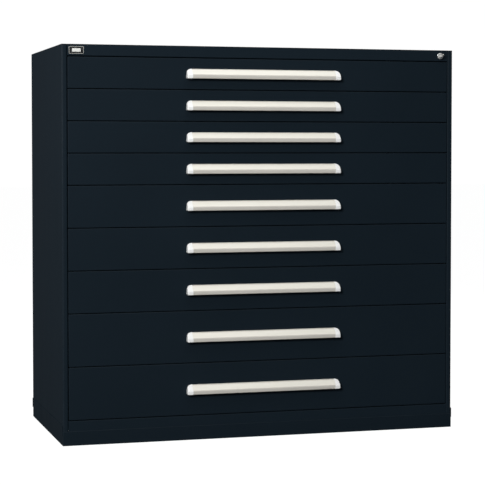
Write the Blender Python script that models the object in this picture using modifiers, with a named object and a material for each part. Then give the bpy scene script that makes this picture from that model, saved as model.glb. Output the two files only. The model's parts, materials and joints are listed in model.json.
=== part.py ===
"""Industrial chest of nine drawers: a sheet-steel housing on a base, drawers that
run on roller slides, and a key lock whose cam lifts a bar that holds every drawer.

Metres, +Z up, front towards -Y. The origin lies on the floor, in the middle of the
whole object's outline, handles included.
"""

from math import cos, pi, radians, sin, tan

import bmesh
import bpy
from mathutils import Matrix, Vector

# Overall sizes.
WIDTH = 1.524
DEPTH = 0.705
DRAWER_PITCHES = (0.117, 0.117, 0.117, 0.117, 0.156, 0.156, 0.156, 0.195, 0.195)
TOP_RAIL_HEIGHT = 0.044
BOTTOM_RAIL_HEIGHT = 0.039
BASE_HEIGHT = 0.053

# Sheet metal.
SHEET = 0.002
BACK_SHEET = 0.0015
DRAWER_SHEET = 0.0015
BASE_SHEET = 0.0025
BEND = 0.001
FIT_GAP = 0.0003
ARC_STEPS = 3
SHARP_ANGLE = radians(40)

# Housing.
STILE_WIDTH = 0.020
STILE_HEM = 0.012
REAR_FLANGE = 0.020
RAIL_FLANGE = 0.015
BASE_FLANGE = 0.025
LAP_RISE = 0.022
LAP_FALL = 0.015
LAP_THICKNESS = 0.0022
COVER_LIFT = 0.004

# Drawers.
SEAM = 0.003
FRONT_SIDE_GAP = 0.002
FRONT_TRAY_DEPTH = 0.014
FRONT_ROUND = 0.0012
BOX_BELOW_FRONT_TOP = 0.012
BOX_ABOVE_FRONT_BOTTOM = 0.008

# Roller slides.
ROLLER_RADIUS = 0.011
ROLLER_WIDTH = 0.014
ROLLER_SIDES = 12
ROLLER_PLAY = 0.0005
SIDE_PLAY = 0.0015
OPENING_PLAY = 0.0025
CARRIER_THICKNESS = 0.003
CARRIER_HEIGHT = 0.027
CARRIER_BEHIND_COLUMN = 0.001
CARRIER_SHORTER = 0.024
BOX_BEFORE_CHANNEL_END = 0.0215
ROLLER_END = 0.020
CHANNEL_SHEET = 0.002
RAIL_ABOVE_FRONT_BOTTOM = 0.030
JOIN_OVERLAP = 0.0005
COLUMN_WIDTH = 0.030
COLUMN_BEHIND_CATCH = 0.003
REAR_SPACE = 0.045

# Handles.
HANDLE_LENGTH = 0.600
HANDLE_HEIGHT = 0.037
HANDLE_REACH = 0.026
HANDLE_WALL = 0.002
HANDLE_FLANGE = 0.014
HANDLE_SHOULDER = 0.0055
HANDLE_LIP = 0.0125
HANDLE_CURL = 0.0045
HANDLE_BEND = 0.0012
CAP_LENGTH = 0.022
CAP_PROUD = 0.0004
CAP_CORNER = 0.013

# Name plate.
PLATE_SIZE = (0.055, 0.027)
PLATE_THICKNESS = 0.0012
PLATE_CORNER = 0.003
PLATE_INSET = 0.0265

# Lock.
LOCK_INSET = 0.051
BEZEL_RADIUS = 0.012
BEZEL_THICKNESS = 0.003
CASE_RADIUS = 0.0095
CASE_LENGTH = 0.020
PLUG_RADIUS = 0.006
TURN_CLEARANCE = 0.0003
ROUND_SIDES = 24
KEY_ANGLE = radians(45)
KEY_REACH = 0.0255
KEY_BOW_RADIUS = 0.0105
KEY_BLADE = (0.007, 0.002)
KEY_DEPTH = 0.016
BAR_BEHIND_TRAY = 0.010
BAR_THICKNESS = 0.003
BAR_WIDTH = 0.0115
BAR_SIDE_CLEARANCE = 0.0025
BAR_TOP_ARM = 0.003
CAM_RADIUS = 0.007
CAM_THICKNESS = 0.004
LOCK_LIFT = 0.006
LOCK_TURN = pi / 2
HOOK_REACH = 0.014
HOOK_HEIGHT = 0.006
HOOK_CLEARANCE = 0.002
CATCH_WIDER = 0.0015
CATCH_SHEET = 0.002
CATCH_DROP = 0.008
CATCH_BELOW_FRONT_TOP = 0.020
CATCH_SLACK = 0.004
GUIDE_HEIGHT = 0.020
GUIDE_CHEEK = 0.003
BAR_FOOT = 0.010

# Levels and planes that follow from the sizes.
HEIGHT = BASE_HEIGHT + BOTTOM_RAIL_HEIGHT + sum(DRAWER_PITCHES) + TOP_RAIL_HEIGHT
FRONT_Y = HANDLE_REACH - (DEPTH + HANDLE_REACH) / 2
BACK_Y = FRONT_Y + DEPTH
HALF_WIDTH = WIDTH / 2
OPENING_HALF = HALF_WIDTH - STILE_WIDTH
DRAWERS_TOP = HEIGHT - TOP_RAIL_HEIGHT
DRAWERS_BOTTOM = BASE_HEIGHT + BOTTOM_RAIL_HEIGHT
TOP_UNDERSIDE = HEIGHT - SHEET
FRONT_HALF = OPENING_HALF - FRONT_SIDE_GAP

# The slide stack, from the opening's edge inwards.
OUTER_ROLLER_X = OPENING_HALF - OPENING_PLAY
CARRIER_OUTER_X = OUTER_ROLLER_X - ROLLER_WIDTH
CARRIER_INNER_X = CARRIER_OUTER_X - CARRIER_THICKNESS
INNER_ROLLER_X = CARRIER_INNER_X - ROLLER_WIDTH
DRAWER_WEB_OUTER_X = INNER_ROLLER_X - SIDE_PLAY
DRAWER_WEB_INNER_X = DRAWER_WEB_OUTER_X - CHANNEL_SHEET
BOX_HALF = DRAWER_WEB_INNER_X + JOIN_OVERLAP
CHANNEL_INSIDE = 2 * (ROLLER_RADIUS + ROLLER_PLAY)
CHANNEL_HEIGHT = CHANNEL_INSIDE + 2 * CHANNEL_SHEET

# The lock.
LOCK_X = HALF_WIDTH - LOCK_INSET
LOCK_Z = HEIGHT - TOP_RAIL_HEIGHT / 2
BAR_OUTER_X = HALF_WIDTH - SHEET - BAR_SIDE_CLEARANCE
BAR_INNER_X = BAR_OUTER_X - BAR_WIDTH
BAR_SETBACK = FRONT_TRAY_DEPTH + BAR_BEHIND_TRAY
BAR_Y = FRONT_Y + BAR_SETBACK
CATCH_LEG_Y = BAR_Y + BAR_THICKNESS + CATCH_SLACK
BAR_BOTTOM_Z = DRAWERS_BOTTOM + BAR_FOOT
ARM_UNDERSIDE_Z = LOCK_Z + CAM_RADIUS + FIT_GAP

# The slides' length, which sets how far the drawers travel.
COLUMN_Y = CATCH_LEG_Y + CATCH_SHEET + COLUMN_BEHIND_CATCH
CHANNEL_END_Y = BACK_Y - REAR_SPACE
CARRIER_Y = COLUMN_Y + CARRIER_BEHIND_COLUMN
CARRIER_LENGTH = CHANNEL_END_Y - COLUMN_Y - CARRIER_SHORTER
BOX_Y = FRONT_Y + DRAWER_SHEET + FIT_GAP
BOX_END_Y = CHANNEL_END_Y - BOX_BEFORE_CHANNEL_END
TRAVEL = CARRIER_LENGTH

# Local axes of a flat outline that is drawn in two of the world's axes and given
# its thickness along the third.
ALONG_X = Matrix(((0, 0, 1), (1, 0, 0), (0, 1, 0)))
ALONG_Y = Matrix(((1, 0, 0), (0, 0, -1), (0, 1, 0)))
ALONG_Z = Matrix.Identity(3)

MATERIALS = {
    "painted_steel": ((0.012, 0.017, 0.023), 0.45, 0.0),
    "drawer_steel": ((0.012, 0.017, 0.023), 0.45, 0.0),
    "zinc_steel": ((0.55, 0.56, 0.57), 0.40, 0.9),
    "cream_aluminium": ((0.80, 0.77, 0.68), 0.40, 0.0),
    "bright_metal": ((0.72, 0.71, 0.68), 0.30, 1.0),
    "plate_dark": ((0.02, 0.02, 0.02), 0.35, 0.0),
}


def clear_scene():
    for thing in list(bpy.data.objects):
        bpy.data.objects.remove(thing)


def make_material(name):
    """A Principled material with the colour, roughness and metallic value listed for it."""
    colour, roughness, metallic = MATERIALS[name]
    material = bpy.data.materials.new(name)
    material.use_nodes = True
    shader = material.node_tree.nodes["Principled BSDF"]
    shader.inputs["Base Color"].default_value = (*colour, 1.0)
    shader.inputs["Roughness"].default_value = roughness
    shader.inputs["Metallic"].default_value = metallic
    return material


def named(thing, name, material, parent, location=(0, 0, 0)):
    """Gives a finished object its name, material, parent and place."""
    thing.name = name
    thing.data.materials.clear()
    thing.data.materials.append(materials[material])
    thing.data.shade_smooth()
    thing.data.set_sharp_from_angle(angle=SHARP_ANGLE)
    thing.parent = parent
    thing.location = location
    return thing


def new_object(mesh):
    thing = bpy.data.objects.new(mesh.name, mesh)
    chest.objects.link(thing)
    return thing


def empty(name, location=(0, 0, 0)):
    """The parent of the pieces that move together, at its joint's place."""
    thing = bpy.data.objects.new(name, None)
    thing.empty_display_size = 0.05
    thing.location = location
    chest.objects.link(thing)
    return thing


def block(x, y, z):
    """A box between two limits on each axis."""
    mesh = bpy.data.meshes.new("block")
    shape = bmesh.new()
    size = (x[1] - x[0], y[1] - y[0], z[1] - z[0])
    middle = (sum(x) / 2, sum(y) / 2, sum(z) / 2)
    bmesh.ops.create_cube(shape, matrix=Matrix.Translation(middle) @ Matrix.Diagonal((*size, 1)))
    shape.to_mesh(mesh)
    shape.free()
    return new_object(mesh)


def cylinder(radius, sides, near, far, turn=ALONG_Z):
    """A round bar from near to far along its own axis, which turn sets in the world."""
    mesh = bpy.data.meshes.new("cylinder")
    shape = bmesh.new()
    place = turn.to_4x4() @ Matrix.Translation((0, 0, (near + far) / 2))
    bmesh.ops.create_cone(
        shape,
        cap_ends=True,
        segments=sides,
        radius1=radius,
        radius2=radius,
        depth=far - near,
        matrix=place,
    )
    shape.to_mesh(mesh)
    shape.free()
    return new_object(mesh)


def as_mesh(thing):
    """The object with its modifiers and curve shape turned into one welded mesh."""
    bpy.context.view_layer.update()
    graph = bpy.context.evaluated_depsgraph_get()
    mesh = bpy.data.meshes.new_from_object(thing.evaluated_get(graph))
    shape = bmesh.new()
    shape.from_mesh(mesh)
    bmesh.ops.remove_doubles(shape, verts=shape.verts, dist=0.00001)
    shape.transform(thing.matrix_world)
    shape.to_mesh(mesh)
    shape.free()
    bpy.data.objects.remove(thing)
    return new_object(mesh)


def combine(base, others, operation="UNION"):
    """The base with the others joined to it or cut from it."""
    for other in others:
        modifier = base.modifiers.new("combine", "BOOLEAN")
        modifier.operation = operation
        modifier.solver = "EXACT"
        modifier.object = other
    joined = as_mesh(base)
    for other in others:
        bpy.data.objects.remove(other)
    return joined


def slab(outline, near, far, turn):
    """A flat outline given a thickness from near to far along the axis that turn names."""
    curve = bpy.data.curves.new("slab", "CURVE")
    curve.dimensions = "2D"
    curve.fill_mode = "BOTH"
    curve.extrude = abs(far - near) / 2
    spline = curve.splines.new("POLY")
    spline.points.add(len(outline) - 1)
    for point, (u, v) in zip(spline.points, outline):
        point.co = (u, v, 0, 1)
    spline.use_cyclic_u = True
    thing = bpy.data.objects.new("slab", curve)
    chest.objects.link(thing)
    middle = turn @ Vector((0, 0, (near + far) / 2))
    thing.matrix_world = Matrix.Translation(middle) @ turn.to_4x4()
    return as_mesh(thing)


def rounded_line(corners, radius):
    """Points and left-hand normals along a line whose corners are rounded to a radius."""
    corners = [Vector(corner) for corner in corners]
    line = []
    for i, corner in enumerate(corners):
        before = (corner - corners[i - 1]).normalized() if i else None
        after = (corners[i + 1] - corner).normalized() if i + 1 < len(corners) else None
        if before is None or after is None:
            along = after or before
            line.append((corner, Vector((-along.y, along.x))))
            continue
        turn = before.angle_signed(after, 0.0) * -1
        reach = radius * tan(abs(turn) / 2)
        start = corner - before * reach
        side = 1 if turn > 0 else -1
        normal = Vector((-before.y, before.x))
        centre = start + normal * (radius * side)
        for k in range(ARC_STEPS + 1):
            swing = Matrix.Rotation(turn * k / ARC_STEPS, 2)
            here = swing @ normal
            line.append((centre - here * (radius * side), here))
    return line


def bent_strip(corners, thickness, inside_radius=BEND):
    """The closed outline of a strip of even thickness, bent round the corners of its middle line."""
    line = rounded_line(corners, inside_radius + thickness / 2)
    left = [point + normal * (thickness / 2) for point, normal in line]
    right = [point - normal * (thickness / 2) for point, normal in line]
    return [tuple(point) for point in left + right[::-1]]


def arc(centre, radius, start, end, steps):
    """Points on an arc, from the angle start to the angle end."""
    angles = [start + (end - start) * k / steps for k in range(steps + 1)]
    return [(centre[0] + radius * cos(a), centre[1] + radius * sin(a)) for a in angles]


def open_tray(x, y, z, open_side, sheet, rounding=0.0):
    """A sheet-metal tray inside the given limits, open towards open_side."""
    tray = block(x, y, z)
    shape = bmesh.new()
    shape.from_mesh(tray.data)
    missing = [face for face in shape.faces if face.normal.dot(Vector(open_side)) > 0.9]
    bmesh.ops.delete(shape, geom=missing, context="FACES")
    shape.to_mesh(tray.data)
    shape.free()
    if rounding:
        bevel = tray.modifiers.new("rounded", "BEVEL")
        bevel.width = rounding
        bevel.segments = 2
    wall = tray.modifiers.new("sheet", "SOLIDIFY")
    wall.thickness = sheet
    wall.offset = -1
    wall.use_even_offset = True
    return as_mesh(tray)


def channel_outline(web, tips, middle):
    """A C-channel seen from its end: the web's inner face, the flanges' tips and the level of its middle."""
    outwards = 1 if web > tips else -1
    half = (CHANNEL_INSIDE + CHANNEL_SHEET) / 2
    spine = web + outwards * CHANNEL_SHEET / 2
    corners = [(tips, middle - half), (spine, middle - half), (spine, middle + half), (tips, middle + half)]
    return bent_strip(corners, CHANNEL_SHEET)


def mirrored(outline, side):
    """The outline as it is for the right side, or turned over for the left."""
    return [(side * u, v) for u, v in outline]


# Housing.


def build_side_panel(name, side):
    inner_y = BACK_Y - BACK_SHEET - FIT_GAP
    skin_x = HALF_WIDTH - SHEET / 2
    hem_x = OPENING_HALF + SHEET / 2
    corners = [
        (hem_x, FRONT_Y + STILE_HEM),
        (hem_x, FRONT_Y + SHEET / 2),
        (skin_x, FRONT_Y + SHEET / 2),
        (skin_x, inner_y - SHEET / 2),
        (HALF_WIDTH - REAR_FLANGE, inner_y - SHEET / 2),
    ]
    outline = mirrored(bent_strip(corners, SHEET), side)
    panel = slab(outline, BASE_HEIGHT + FIT_GAP, TOP_UNDERSIDE - FIT_GAP, ALONG_Z)
    named(panel, name, "painted_steel", cabinet)


def build_back_panel():
    back = block(
        (-HALF_WIDTH, HALF_WIDTH),
        (BACK_Y - BACK_SHEET, BACK_Y),
        (BASE_HEIGHT + FIT_GAP, TOP_UNDERSIDE - FIT_GAP),
    )
    named(back, "back_panel", "painted_steel", cabinet)


def build_top_panel():
    top = block((-HALF_WIDTH, HALF_WIDTH), (FRONT_Y, BACK_Y), (TOP_UNDERSIDE, HEIGHT))
    named(top, "top_panel", "painted_steel", cabinet)


def build_top_rail():
    low = DRAWERS_TOP + SEAM / 2
    high = TOP_UNDERSIDE - FIT_GAP
    corners = [
        (FRONT_Y + RAIL_FLANGE, low + SHEET / 2),
        (FRONT_Y + SHEET / 2, low + SHEET / 2),
        (FRONT_Y + SHEET / 2, high - SHEET / 2),
        (FRONT_Y + RAIL_FLANGE, high - SHEET / 2),
    ]
    half = OPENING_HALF - FIT_GAP
    rail = slab(bent_strip(corners, SHEET), -half, half, ALONG_X)
    hole = cylinder(CASE_RADIUS + TURN_CLEARANCE, ROUND_SIDES, -SHEET, 2 * SHEET, ALONG_Y)
    hole.location = (LOCK_X, FRONT_Y + SHEET, LOCK_Z)
    named(combine(rail, [hole], "DIFFERENCE"), "top_rail", "painted_steel", cabinet)


def build_floor_pan():
    """The housing's floor, whose front flange is the rail below the drawers."""
    deck = DRAWERS_BOTTOM - SEAM / 2 - SHEET / 2
    low = BASE_HEIGHT + FIT_GAP
    rear = BACK_Y - BACK_SHEET - SHEET - 2 * FIT_GAP - SHEET / 2
    corners = [
        (FRONT_Y + SHEET / 2, low),
        (FRONT_Y + SHEET / 2, deck),
        (rear, deck),
        (rear, low),
    ]
    half = OPENING_HALF - FIT_GAP
    pan = slab(bent_strip(corners, SHEET), -half, half, ALONG_X)
    named(pan, "floor_pan", "painted_steel", cabinet)


def build_base_frame():
    """A ring of C-channel under the housing: four walls with flanges turned in above and below.

    A lap on each side rises past the seam, over the foot of the housing's side.
    """
    front = FRONT_Y + FIT_GAP
    frame = block((-HALF_WIDTH, HALF_WIDTH), (front, BACK_Y), (0, BASE_HEIGHT))
    shape = bmesh.new()
    shape.from_mesh(frame.data)
    ends = [face for face in shape.faces if abs(face.normal.z) > 0.9]
    bmesh.ops.inset_individual(shape, faces=ends, thickness=BASE_FLANGE)
    bmesh.ops.delete(shape, geom=ends, context="FACES")
    shape.to_mesh(frame.data)
    shape.free()
    wall = frame.modifiers.new("sheet", "SOLIDIFY")
    wall.thickness = BASE_SHEET
    wall.offset = -1
    wall.use_even_offset = True
    ring = as_mesh(frame)
    inner = HALF_WIDTH + FIT_GAP
    outer = inner + LAP_THICKNESS
    low = BASE_HEIGHT - LAP_FALL
    high = BASE_HEIGHT + LAP_RISE
    outline = [(HALF_WIDTH - JOIN_OVERLAP, low), (outer - BEND, low), (outer, low + BEND)]
    outline += [(outer, high - BEND), (outer - BEND, high), (inner, high)]
    outline += [(inner, BASE_HEIGHT), (HALF_WIDTH - JOIN_OVERLAP, BASE_HEIGHT - FIT_GAP)]
    laps = [slab(mirrored(outline, side), -BACK_Y, -front - BEND, ALONG_Y) for side in (-1, 1)]
    named(combine(ring, laps), "base_frame", "painted_steel", cabinet)


def build_base_front_cover():
    """The kick plate, fixed on the base's front just clear of the floor."""
    cover = block((-HALF_WIDTH, HALF_WIDTH), (FRONT_Y - SHEET, FRONT_Y), (COVER_LIFT, BASE_HEIGHT))
    bevel = cover.modifiers.new("rounded", "BEVEL")
    bevel.width = SHEET * 0.4
    bevel.segments = 2
    named(as_mesh(cover), "base_front_cover", "painted_steel", cabinet)


def build_name_plate():
    width, height = PLATE_SIZE
    left = -HALF_WIDTH + PLATE_INSET
    low = LOCK_Z - height / 2
    outline = []
    for i, (u, v) in enumerate(((1, 1), (0, 1), (0, 0), (1, 0))):
        centre = (
            left + u * width + (1 - 2 * u) * PLATE_CORNER,
            low + v * height + (1 - 2 * v) * PLATE_CORNER,
        )
        outline += arc(centre, PLATE_CORNER, i * pi / 2, (i + 1) * pi / 2, ARC_STEPS)
    near = -(FRONT_Y - FIT_GAP)
    plate = slab(outline, near, near + PLATE_THICKNESS, ALONG_Y)
    named(plate, "name_plate", "plate_dark", cabinet)


def rail_level(front_bottom):
    return front_bottom + RAIL_ABOVE_FRONT_BOTTOM


def build_slide_rack(name, side):
    """Two slotted columns and the fixed channels that they carry, one for each drawer."""
    web = OPENING_HALF
    post_x = sorted((side * (web + CHANNEL_SHEET - JOIN_OVERLAP), side * (HALF_WIDTH - SHEET - FIT_GAP)))
    low = DRAWERS_BOTTOM + FIT_GAP
    high = TOP_UNDERSIDE - FIT_GAP
    rear_y = CHANNEL_END_Y - COLUMN_WIDTH
    posts = [block(post_x, (y, y + COLUMN_WIDTH), (low, high)) for y in (COLUMN_Y, rear_y)]
    tips = CARRIER_OUTER_X + SIDE_PLAY
    near = -(CHANNEL_END_Y + JOIN_OVERLAP)
    far = -(COLUMN_Y - JOIN_OVERLAP)
    for front_bottom, _ in fronts:
        outline = channel_outline(web, tips, rail_level(front_bottom))
        posts.append(slab(mirrored(outline, side), near, far, ALONG_Y))
    if side > 0:
        posts += lock_bar_guides()
    named(combine(posts[0], posts[1:]), name, "zinc_steel", cabinet)


def lock_bar_guides():
    """Cheeks that stand out from the front column and reach round the lock bar."""
    outside = HALF_WIDTH - SHEET - FIT_GAP
    levels = (BAR_BOTTOM_Z + GUIDE_HEIGHT, (DRAWERS_TOP + DRAWERS_BOTTOM) / 2, DRAWERS_TOP - GUIDE_HEIGHT)
    front = BAR_Y - FIT_GAP - GUIDE_CHEEK
    cheeks = []
    for level in levels:
        z = (level - GUIDE_HEIGHT / 2, level + GUIDE_HEIGHT / 2)
        outer = (BAR_OUTER_X + FIT_GAP, outside - JOIN_OVERLAP)
        cheeks.append(block(outer, (front + JOIN_OVERLAP, COLUMN_Y + GUIDE_CHEEK), z))
        inner = (BAR_INNER_X + FIT_GAP, outside)
        shorter = (z[0] + JOIN_OVERLAP, z[1] - JOIN_OVERLAP)
        cheeks.append(block(inner, (front, front + GUIDE_CHEEK), shorter))
    return cheeks


# Drawers.


def build_slide_mesh():
    """The rolling member of a right-hand slide, with its middle at the origin.

    Its outer rollers, near the rear end, run in the housing's channel. Its inner
    rollers, near the front end, carry the drawer's channel.
    """
    middle = (CARRIER_OUTER_X + CARRIER_INNER_X) / 2
    half = CARRIER_THICKNESS / 2
    length = CARRIER_LENGTH / 2
    bar = block((-half, half), (-length, length), (-CARRIER_HEIGHT / 2, CARRIER_HEIGHT / 2))
    spacing = (TRAVEL / 2 - 2 * ROLLER_END) / 2
    rollers = []
    for station in (ROLLER_END, ROLLER_END + spacing, ROLLER_END + 2 * spacing):
        outer = cylinder(ROLLER_RADIUS, ROLLER_SIDES, 0, OUTER_ROLLER_X - middle, ALONG_X)
        outer.location = (0, length - station, 0)
        inner = cylinder(ROLLER_RADIUS, ROLLER_SIDES, INNER_ROLLER_X - middle, 0, ALONG_X)
        inner.location = (0, station - length, 0)
        rollers += [outer, inner]
    whole = combine(bar, rollers)
    mesh = whole.data
    bpy.data.objects.remove(whole)
    return mesh


def handle_envelope(proud):
    """The handle's outer outline, as (distance out from the drawer, height from the middle)."""
    top = HANDLE_HEIGHT / 2 - CAP_PROUD + proud
    out = HANDLE_REACH - CAP_PROUD + proud
    knee = HANDLE_LIP - HANDLE_HEIGHT / 2
    return [(FIT_GAP, -top), (out, -top), (out, knee), (HANDLE_SHOULDER, top), (FIT_GAP, top)]


def build_handle_mesh():
    """A hooded pull: a mounting flange, a sloping face for the label, a finger lip, and an end cap each side."""
    reach = HANDLE_REACH - CAP_PROUD - HANDLE_WALL / 2
    top = HANDLE_HEIGHT / 2 - CAP_PROUD - HANDLE_WALL / 2
    knee = HANDLE_LIP - HANDLE_HEIGHT / 2
    flange = FIT_GAP + HANDLE_WALL / 2
    corners = [
        (flange, top - HANDLE_FLANGE),
        (flange, top),
        (HANDLE_SHOULDER, top),
        (reach, knee),
        (reach, -top),
        (reach - HANDLE_CURL, -top),
    ]
    section = [(-out, up) for out, up in bent_strip(corners, HANDLE_WALL, HANDLE_BEND)]
    half = HANDLE_LENGTH / 2
    bar = slab(section, CAP_LENGTH - half - JOIN_OVERLAP, half - CAP_LENGTH + JOIN_OVERLAP, ALONG_X)
    side_view = [(-out, up) for out, up in handle_envelope(CAP_PROUD)]
    left = slab(side_view, -half, CAP_LENGTH - half, ALONG_X)
    right = slab(side_view, half - CAP_LENGTH, half, ALONG_X)
    whole = combine(bar, [left, right])
    corner_z = HANDLE_HEIGHT / 2 - CAP_CORNER
    front_view = [(-half - CAP_PROUD, -HANDLE_HEIGHT), (half + CAP_PROUD, -HANDLE_HEIGHT)]
    front_view += arc((half - CAP_CORNER, corner_z), CAP_CORNER + CAP_PROUD, 0, pi / 2, 2 * ARC_STEPS)
    front_view += arc((CAP_CORNER - half, corner_z), CAP_CORNER + CAP_PROUD, pi / 2, pi, 2 * ARC_STEPS)
    keep = slab(front_view, -HANDLE_REACH, 2 * HANDLE_REACH, ALONG_Y)
    rounded = combine(whole, [keep], "INTERSECT")
    mesh = rounded.data
    bpy.data.objects.remove(rounded)
    return mesh


def build_drawer_front(label, bottom, top, parent):
    """A shallow tray with its face flush with the housing, and the catch that the lock bar holds."""
    tray = open_tray(
        (-FRONT_HALF, FRONT_HALF),
        (FRONT_Y, FRONT_Y + FRONT_TRAY_DEPTH),
        (bottom, top),
        (0, 1, 0),
        DRAWER_SHEET,
        FRONT_ROUND,
    )
    level = top - CATCH_BELOW_FRONT_TOP
    inner = BAR_INNER_X - HOOK_REACH - CATCH_WIDER
    outer = FRONT_HALF - DRAWER_SHEET / 2
    start = FRONT_Y + FRONT_TRAY_DEPTH / 3
    leg = CATCH_LEG_Y + CATCH_SHEET / 2
    corners = [(start, level), (leg, level), (leg, level - CATCH_DROP)]
    catch = slab(bent_strip(corners, CATCH_SHEET), inner, outer, ALONG_X)
    front = combine(tray, [catch])
    named(front, label + "_front", "painted_steel", parent)


def build_drawer_box(label, bottom, top, parent):
    """The drawer's pan, with a channel along each side for the slide's inner rollers."""
    pan = open_tray(
        (-BOX_HALF, BOX_HALF),
        (BOX_Y, BOX_END_Y),
        (bottom + BOX_ABOVE_FRONT_BOTTOM, top - BOX_BELOW_FRONT_TOP),
        (0, 0, 1),
        DRAWER_SHEET,
    )
    outline = channel_outline(DRAWER_WEB_OUTER_X, CARRIER_INNER_X - SIDE_PLAY, rail_level(bottom))
    channels = []
    for side in (-1, 1):
        channels.append(slab(mirrored(outline, side), JOIN_OVERLAP - BOX_END_Y, -BOX_Y - JOIN_OVERLAP, ALONG_Y))
    named(combine(pan, channels), label + "_box", "drawer_steel", parent)


def build_drawer(number, bottom, top, handle_mesh, slide_mesh):
    label = "drawer_" + str(number)
    drawer = empty(label)
    build_drawer_front(label, bottom, top, drawer)
    build_drawer_box(label, bottom, top, drawer)
    handle = new_object(handle_mesh)
    named(handle, label + "_handle", "cream_aluminium", drawer, (0, FRONT_Y, (bottom + top) / 2))
    slides = empty(label + "_slides")
    middle = (CARRIER_OUTER_X + CARRIER_INNER_X) / 2
    carrier_y = CARRIER_Y + CARRIER_LENGTH / 2
    for word, side in (("left", -1), ("right", 1)):
        slide = new_object(slide_mesh)
        place = (side * middle, carrier_y, rail_level(bottom))
        named(slide, label + "_slide_" + word, "zinc_steel", slides, place)
        slide.rotation_euler.y = 0 if side > 0 else pi


# Lock.


def build_lock_case():
    """A flanged barrel that passes through the top rail, with its flange on the face."""
    flange_back = FIT_GAP
    barrel = cylinder(CASE_RADIUS, ROUND_SIDES, -CASE_LENGTH, flange_back + JOIN_OVERLAP, ALONG_Y)
    bezel = cylinder(BEZEL_RADIUS, ROUND_SIDES, flange_back, BEZEL_THICKNESS, ALONG_Y)
    bore = cylinder(PLUG_RADIUS + TURN_CLEARANCE, ROUND_SIDES, -2 * CASE_LENGTH, CASE_LENGTH, ALONG_Y)
    case = combine(combine(barrel, [bezel]), [bore], "DIFFERENCE")
    named(case, "lock_case", "bright_metal", cabinet, (LOCK_X, FRONT_Y, LOCK_Z))


def cam_outline():
    """A lifting cam: its rise is even with its turn, so its flank is the involute for a flat follower."""
    rate = LOCK_LIFT / LOCK_TURN
    steps = 4 * ARC_STEPS
    flank = []
    for k in range(steps + 1):
        turned = LOCK_TURN * k / steps
        facing = pi / 2 - turned
        rise = CAM_RADIUS + rate * turned
        flank.append((rise * cos(facing) + rate * sin(facing), rise * sin(facing) - rate * cos(facing)))
    back = arc((0, 0), CAM_RADIUS, -pi / 3, -3 * pi / 2 + pi / 8, 2 * steps)
    return flank + back


def build_lock_plug(parent):
    """The turning barrel with its key slot, and the cam on its inner end."""
    cam_near = -(BAR_SETBACK + BAR_THICKNESS / 2 + CAM_THICKNESS / 2)
    barrel = cylinder(PLUG_RADIUS, ROUND_SIDES, cam_near + JOIN_OVERLAP, BEZEL_THICKNESS, ALONG_Y)
    cam = slab(cam_outline(), cam_near, cam_near + CAM_THICKNESS, ALONG_Y)
    width, thickness = (size + 2 * TURN_CLEARANCE for size in KEY_BLADE)
    slot = block((-width / 2, width / 2), (-BEZEL_RADIUS, KEY_DEPTH + TURN_CLEARANCE), (-thickness / 2, thickness / 2))
    slot.rotation_euler.y = -KEY_ANGLE
    plug = combine(combine(barrel, [cam]), [slot], "DIFFERENCE")
    named(plug, "lock_plug", "bright_metal", parent)


def build_key(parent):
    """A flat key: a round bow outside the lock and a blade in its slot."""
    width, thickness = KEY_BLADE
    centre = (0, KEY_REACH - KEY_BOW_RADIUS)
    neck = radians(20)
    outline = arc(centre, KEY_BOW_RADIUS, neck - pi / 2, 3 * pi / 2 - neck, 6 * ARC_STEPS)
    outline += [(-width / 2, 0), (-width / 2, -KEY_DEPTH), (width / 2, -KEY_DEPTH), (width / 2, 0)]
    key = slab(outline, -thickness / 2, thickness / 2, ALONG_Z)
    stand = Matrix.Rotation(-KEY_ANGLE, 4, "Y") @ Matrix.Diagonal((1, -1, -1, 1))
    key.data.transform(stand)
    named(key, "lock_key", "bright_metal", parent)


def build_lock_bar(parent):
    """A flat bar with a hook below each catch and an arm that rests over the cam."""
    inner = BAR_INNER_X
    arm_end = LOCK_X - CAM_RADIUS
    arm_top = ARM_UNDERSIDE_Z + BAR_TOP_ARM
    outline = [(BAR_OUTER_X, BAR_BOTTOM_Z), (BAR_OUTER_X, arm_top), (arm_end, arm_top)]
    outline += [(arm_end, ARM_UNDERSIDE_Z), (inner, ARM_UNDERSIDE_Z)]
    for _, top in fronts:
        catch_foot = top - CATCH_BELOW_FRONT_TOP - CATCH_DROP
        hook_top = catch_foot - HOOK_CLEARANCE
        tip = inner - HOOK_REACH
        hook_foot = hook_top - HOOK_HEIGHT
        outline += [(inner, hook_top), (tip, hook_top), (tip, hook_foot), (inner, hook_foot)]
    outline.append((inner, BAR_BOTTOM_Z))
    bar = slab(outline, -BAR_Y - BAR_THICKNESS, -BAR_Y, ALONG_Y)
    named(bar, "lock_bar", "zinc_steel", parent)


clear_scene()
chest = bpy.data.collections.new("chest_of_drawers")
bpy.context.scene.collection.children.link(chest)
materials = {name: make_material(name) for name in MATERIALS}

# Each drawer front's lower and upper edge, from the top drawer down.
fronts = []
for index, pitch in enumerate(DRAWER_PITCHES):
    upper = DRAWERS_TOP - sum(DRAWER_PITCHES[:index])
    fronts.append((upper - pitch + SEAM / 2, upper - SEAM / 2))

cabinet = empty("cabinet")
build_side_panel("left_side_panel", -1)
build_side_panel("right_side_panel", 1)
build_back_panel()
build_top_panel()
build_top_rail()
build_floor_pan()
build_base_frame()
build_base_front_cover()
build_name_plate()
build_slide_rack("left_slide_rack", -1)
build_slide_rack("right_slide_rack", 1)
build_lock_case()

shared_handle = build_handle_mesh()
shared_slide = build_slide_mesh()
for index, (front_bottom, front_top) in enumerate(fronts):
    build_drawer(index + 1, front_bottom, front_top, shared_handle, shared_slide)

turning = empty("lock_turning", (LOCK_X, FRONT_Y, LOCK_Z))
build_lock_plug(turning)
build_key(turning)
lifting = empty("lock_lifting")
build_lock_bar(lifting)
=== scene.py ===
import json
from math import pi, radians, tan

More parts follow.
